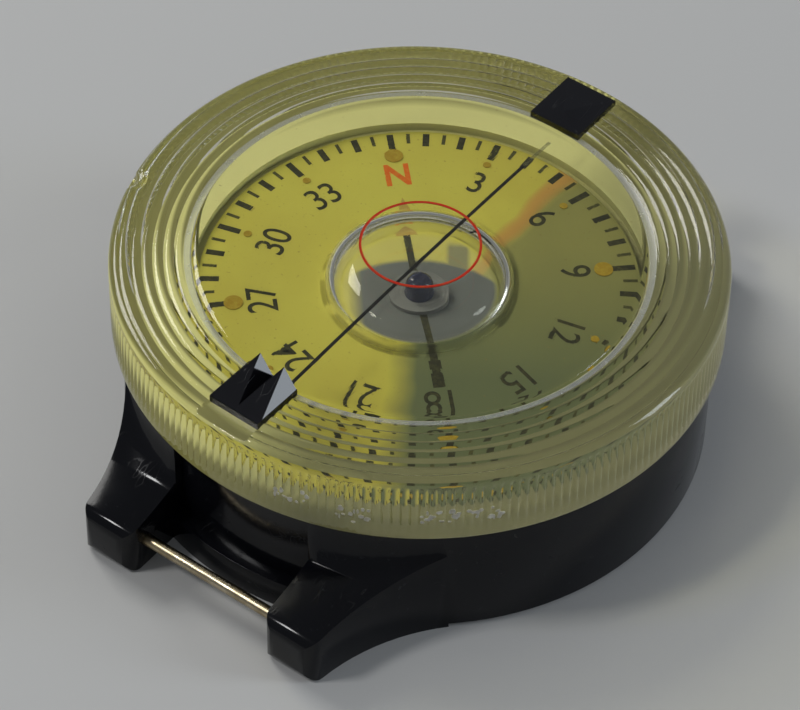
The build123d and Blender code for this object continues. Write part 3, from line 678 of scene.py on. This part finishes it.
def make_residue():
    """Dried white flakes between the ribs, in three patches."""
    random.seed(7)
    solids = []
    corners = range(FLAKE_CORNERS)
    inner_cap = tuple(reversed(corners))
    outer_cap = tuple(FLAKE_CORNERS + i for i in corners)
    for start, end, low, high, flakes in FLAKES:
        for _ in range(flakes):
            angle = math.radians(random.uniform(start, end))
            height = random.uniform(low, high) * MM
            wide = random.uniform(0.12, 0.42) * MM
            tall = random.uniform(0.15, 0.5) * MM
            rim = []
            for corner in corners:
                turn = 2 * math.pi * corner / FLAKE_CORNERS
                reach = random.uniform(0.6, 1.0)
                rim.append((wide * reach * math.cos(turn) / BEZEL_R, tall * reach * math.sin(turn)))
            skins = []
            for depth in (0.05 * MM, 0.01 * MM):
                skins += [on_circle(BEZEL_R - depth, height + rise, angle + turn) for turn, rise in rim]
            nexts = [(i + 1) % FLAKE_CORNERS for i in corners]
            sides = [(i, j, FLAKE_CORNERS + j, FLAKE_CORNERS + i) for i, j in zip(corners, nexts)]
            solids.append((skins, [inner_cap, outer_cap] + sides))
    points, faces = join_solids(solids)
    add_piece("residue_flakes", points, faces, [RESIDUE], "head")


def make_worn_line():
    """The course line's groove past the end of its paint."""
    half = line_high.x
    outline = [(-half, line_high.y), (half, line_high.y), (half, WORN_END), (-half, WORN_END)]
    points, faces = outline_solid(outline, line_low.z, line_high.z)
    add_piece("course_line_worn", points, faces, [LINE_WORN], "head")


make_residue()
make_worn_line()
make_cement()


# ---- float dome -------------------------------------------------------------------------------------------

FLOAT_SKIN = 0.45 * MM
FLOAT_CROWN = 5.2 * MM
FLOAT_SIDE_TOP = 14.4 * MM
FLOAT_STEPS = 14
FLOAT_COLUMNS = 240


def float_half(inset):
    """Half section of the float's skin from its foot to its crown."""
    side = FLOAT_R - inset
    top = float_high.z - inset
    found = [(side, CARD_TOP), (side, FLOAT_SIDE_TOP - 0.3 * MM)]
    for i in range(FLOAT_STEPS + 1):
        angle = math.radians(90 * i / FLOAT_STEPS)
        radius = FLOAT_CROWN + (side - FLOAT_CROWN) * math.cos(angle)
        found.append((radius, FLOAT_SIDE_TOP + (top - FLOAT_SIDE_TOP) * math.sin(angle)))
    found.append((PINHOLE, top))
    return found


def make_float():
    """Hollow clear float: its outside is wetted by the liquid, its inside meets the air in it."""
    outer = float_half(0.0)
    inner = list(reversed(float_half(FLOAT_SKIN)))
    profile = outer + inner
    points, faces = lathe(profile, FLOAT_COLUMNS, on_circle)
    count = len(profile)
    dry = range(len(outer), count - 1)
    indices = [0 if j in dry else 1 for j in range(count)] * FLOAT_COLUMNS
    finishes = [FLOAT_CLEAR, WETTED]
    dome = add_piece("float_dome_clear", points, faces, finishes, "card", indices, 50)
    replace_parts(dome, "float_dome")


make_float()


# ---- print on the card ------------------------------------------------------------------------------------

PRINT = 0.02 * MM
HEADINGS = 72
TICK_OUTER = 21.0 * MM
NUMERAL_RADIUS = 15.0 * MM
NUMERAL_SIZE = 4.15 * MM
NUMERAL_NARROW = 0.86


def heading_point(heading, radius, across=0.0):
    """(x, y) at this heading in degrees clockwise from the card's north, moved across to the right."""
    angle = NORTH - math.radians(heading)
    out = Vector((math.cos(angle), math.sin(angle)))
    right = Vector((out.y, -out.x))
    return tuple(out * radius + right * across)


def heading_box(heading, inner, outer, width):
    """Outline of a radial stroke, anticlockwise."""
    half = width / 2
    return [
        heading_point(heading, inner, half),
        heading_point(heading, outer, half),
        heading_point(heading, outer, -half),
        heading_point(heading, inner, -half),
    ]


def make_ticks():
    """A stroke every 5 degrees: thick every 10, longer every 30, thin and paler between."""
    thick = []
    thin = []
    for i in range(HEADINGS):
        heading = 360 / HEADINGS * i
        if i % 2:
            outline = heading_box(heading, 19.6 * MM, TICK_OUTER, 0.36 * MM)
            thin.append(outline_solid(outline, CARD_TOP, CARD_TOP + PRINT))
            continue
        inner = 18.7 * MM if i % 6 == 0 else 19.2 * MM
        outline = heading_box(heading, inner, TICK_OUTER, 0.66 * MM)
        thick.append(outline_solid(outline, CARD_TOP, CARD_TOP + PRINT))
    points, faces = join_solids(thick)
    add_piece("card_ticks_ten", points, faces, [PRINT_BLACK], "card")
    points, faces = join_solids(thin)
    add_piece("card_ticks_five", points, faces, [PRINT_OLIVE], "card")


make_ticks()


def make_numeral(text, heading, material, weight):
    """One numeral on the card, its top towards the rim."""
    curve = bpy.data.curves.new("numeral_" + text, "FONT")
    curve.body = text
    curve.size = NUMERAL_SIZE
    curve.offset = weight
    curve.align_x = "CENTER"
    curve.align_y = "CENTER"
    curve.extrude = PRINT / 2
    curve.space_character = 0.96
    holder = bpy.data.objects.new("numeral_" + text, curve)
    bpy.context.scene.collection.objects.link(holder)
    bpy.context.view_layer.update()
    mesh = bpy.data.meshes.new_from_object(holder.evaluated_get(bpy.context.evaluated_depsgraph_get()))
    bpy.data.objects.remove(holder)
    place = Matrix.Translation((*heading_point(heading, NUMERAL_RADIUS), CARD_TOP + PRINT / 2))
    turn = Matrix.Rotation(NORTH - math.radians(heading) - math.pi / 2, 4, "Z")
    mesh.transform(place @ turn @ Matrix.Diagonal((NUMERAL_NARROW, 1.0, 1.0, 1.0)))
    mesh.materials.clear()
    mesh.materials.append(material)
    put_in_scene("numeral_" + text, mesh, "card")


make_numeral("N", 0, PRINT_ORANGE, 0.11 * MM)
for thirty in range(1, 12):
    make_numeral(str(3 * thirty), 30 * thirty, PRINT_BLACK, 0.015 * MM)


def make_arrow():
    """North arrow: ochre head under the N, dark stem to the hub, dark tail and notched bar to the south."""
    head = [
        heading_point(0, 11.9 * MM),
        heading_point(0, 8.6 * MM, -1.1 * MM),
        heading_point(0, 8.6 * MM, 1.1 * MM),
    ]
    points, faces = outline_solid(head, CARD_TOP, CARD_TOP + PRINT)
    add_piece("arrow_head", points, faces, [PRINT_OCHRE], "card")
    strokes = [
        heading_box(0, 1.5 * MM, 8.6 * MM, 0.7 * MM),
        heading_box(180, 1.5 * MM, 9.9 * MM, 0.75 * MM),
        heading_box(180, 9.9 * MM, 11.0 * MM, 1.15 * MM),
        heading_box(180, 11.0 * MM, 11.5 * MM, 0.8 * MM),
        heading_box(180, 11.5 * MM, 13.3 * MM, 1.15 * MM),
    ]
    points, faces = join_solids([outline_solid(s, CARD_TOP, CARD_TOP + PRINT) for s in strokes])
    add_piece("arrow_stem", points, faces, [PRINT_BLACK], "card")


make_arrow()


# ---- case body and sights with their moulded edges rounded ------------------------------------------------

EDGE_ANGLE = 28
CASE_ROUND_FROM = 27.6 * MM
CASE_ROUND = 0.45 * MM
FOOT_EDGES = (22.1 * MM, 22.35 * MM)


def open_shape(node):
    """The CAD node's mesh with its triangles merged into flat faces."""
    shape = bmesh.new()
    shape.from_mesh(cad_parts[node].data)
    bmesh.ops.remove_doubles(shape, verts=shape.verts, dist=0.002 * MM)
    bmesh.ops.dissolve_limit(shape, angle_limit=math.radians(1.0), verts=shape.verts, edges=shape.edges)
    return shape


def convex_edges(shape, least, length):
    """Edges that stick out by more than an angle in degrees and are longer than a length."""
    found = []
    for edge in shape.edges:
        sticks_out = len(edge.link_faces) == 2 and edge.calc_face_angle_signed(0.0) > math.radians(least)
        if sticks_out and edge.calc_length() > length:
            found.append(edge)
    return found


def round_edges(shape, edges, offset):
    """Rounds some edges of a shape."""
    bmesh.ops.bevel(shape, geom=edges, offset=offset, segments=3, profile=0.5, affect="EDGES",
                    clamp_overlap=True)


def close_shape(shape, name, finish, body, node, sharp):
    """Turns a shape into a piece that stands in for a CAD node."""
    mesh = bpy.data.meshes.new(name)
    shape.to_mesh(mesh)
    shape.free()
    mesh.materials.append(finish)
    mesh.polygons.foreach_set("use_smooth", [True] * len(mesh.polygons))
    mesh.update()
    mesh.set_sharp_from_angle(angle=math.radians(sharp))
    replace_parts(put_in_scene(name, mesh, body), node)


def make_case():
    """The case with its sharp edges rounded as moulded."""
    shape = open_shape("case_body")
    edges = []
    for edge in convex_edges(shape, EDGE_ANGLE, 0.05 * MM):
        if max(point.co.xy.length for point in edge.verts) > CASE_ROUND_FROM:
            edges.append(edge)
    round_edges(shape, edges, CASE_ROUND)
    close_shape(shape, "case_moulded", CASE_BLACK, "case", "case_body", 32)


def make_sight(node, name, wide):
    """A sight with the outer top edge of its foot rounded."""
    shape = open_shape(node)
    low, high = FOOT_EDGES
    edges = []
    for edge in convex_edges(shape, EDGE_ANGLE, 1.0 * MM):
        if all(low < point.co.z < high for point in edge.verts):
            edges.append(edge)
    outer = max(edges, key=lambda edge: abs(edge.verts[0].co.y + edge.verts[1].co.y))
    round_edges(shape, [outer], wide)
    close_shape(shape, name, SIGHT_BLACK, "head", node, 18)


make_case()
make_sight("rear_sight", "rear_sight_moulded", 0.12 * MM)
make_sight("front_sight", "front_sight_moulded", 0.04 * MM)


# ---- CAD nodes' finishes ----------------------------------------------------------------------------------

FINISHES = {
    "strap_bar_rear": BAR_STEEL,
    "strap_bar_front": BAR_STEEL,
    "friction_felt": FELT,
    "capsule_cup": CUP_PAINTED_SHADE,
    "head_snap_ring": SPRING_STEEL,
    "expansion_diaphragm": BRASS,
    "diaphragm_ring": BRASS,
    "pivot_bridge": BRASS,
    "bridge_screws": BRASS,
    "pivot_post": SPRING_STEEL,
    "filler_plug": BRASS,
    "filler_washer": RUBBER,
    "course_line": LINE_BLACK,
    "center_ring": RING_RED,
    "dial_card": CARD_CREAM_PAINTED_SHADE,
    "magnet_left": DARK_STEEL,
    "magnet_right": DARK_STEEL,
    "jewel_cup": HUB_METAL,
    "jewel": JEWEL,
    "luminous_dots": LUME,
}
for node, finish in FINISHES.items():
    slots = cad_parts[node].data.materials
    slots.clear()
    slots.append(finish)


# ---- floor, lights and camera -----------------------------------------------------------------------------

FLOOR_HALF = 0.9
LAMP_AIM = Vector((0, 0, 0.01))
CAMERA_AZIMUTH = math.radians(35.73)
CAMERA_ELEVATION = math.radians(45.69)
CAMERA_ROLL = math.radians(1.578)
CAMERA_DISTANCE = 0.375
CAMERA_AIM = Vector((0, 0, 0.012))


def make_floor():
    """Plain pale floor."""
    material, nodes, links = new_material("floor_pale")
    shader = nodes.new("ShaderNodeBsdfPrincipled")
    shader.inputs["Base Color"].default_value = (0.62, 0.62, 0.61, 1.0)
    shader.inputs["Roughness"].default_value = 0.85
    finish_surface(nodes, links, shader.outputs[0])
    half = FLOOR_HALF
    corners = [(-half, -half, 0), (half, -half, 0), (half, half, 0), (-half, half, 0)]
    mesh = bpy.data.meshes.new("floor")
    mesh.from_pydata(corners, [], [(0, 1, 2, 3)])
    mesh.materials.append(material)
    floor = bpy.data.objects.new("floor", mesh)
    bpy.context.scene.collection.objects.link(floor)


def add_area(name, place, size, power, colour=(1.0, 1.0, 1.0)):
    """Soft area lamp at a place, turned to the compass."""
    lamp = bpy.data.lights.new(name, "AREA")
    lamp.shape = "RECTANGLE"
    lamp.size, lamp.size_y = size
    lamp.energy = power
    lamp.color = colour
    holder = bpy.data.objects.new(name, lamp)
    bpy.context.scene.collection.objects.link(holder)
    holder.location = place
    holder.rotation_euler = (LAMP_AIM - Vector(place)).to_track_quat("-Z", "Y").to_euler()


def make_world():
    """Even pale surroundings."""
    world = bpy.data.worlds.new("studio")
    world.use_nodes = True
    background = world.node_tree.nodes["Background"]
    background.inputs["Color"].default_value = (0.82, 0.86, 0.92, 1.0)
    background.inputs["Strength"].default_value = 0.21
    bpy.context.scene.world = world


def make_camera():
    """Long lens at the reference view: azimuth and elevation about the case's axis, slightly rolled."""
    back = Vector((
        math.sin(CAMERA_AZIMUTH) * math.cos(CAMERA_ELEVATION),
        -math.cos(CAMERA_AZIMUTH) * math.cos(CAMERA_ELEVATION),
        math.sin(CAMERA_ELEVATION),
    ))
    level = Vector((math.cos(CAMERA_AZIMUTH), math.sin(CAMERA_AZIMUTH), 0))
    right = math.cos(CAMERA_ROLL) * level + math.sin(CAMERA_ROLL) * back.cross(level)
    turn = Matrix((right, back.cross(right), back)).transposed().to_4x4()
    camera = bpy.data.objects.new("camera", bpy.data.cameras.new("camera"))
    camera.matrix_world = Matrix.Translation(CAMERA_AIM + CAMERA_DISTANCE * back) @ turn
    camera.data.lens = 172.2
    camera.data.sensor_width = 36.0
    camera.data.shift_x = -0.023
    camera.data.shift_y = -0.0423
    camera.data.clip_start = 0.01
    bpy.context.scene.collection.objects.link(camera)
    bpy.context.scene.camera = camera


make_floor()
make_world()
bpy.context.scene.view_settings.view_transform = "Standard"
add_area("key", (-0.6, 0.1, 0.52), (0.3, 0.3), 2.1, (1.0, 0.99, 0.96))
add_area("window", (0.67, 0.39, 0.27), (0.2, 0.48), 1.8, (0.84, 0.92, 1.0))
add_area("overhead", (-0.33, -0.38, 0.63), (0.12, 0.12), 1.3)
make_camera()
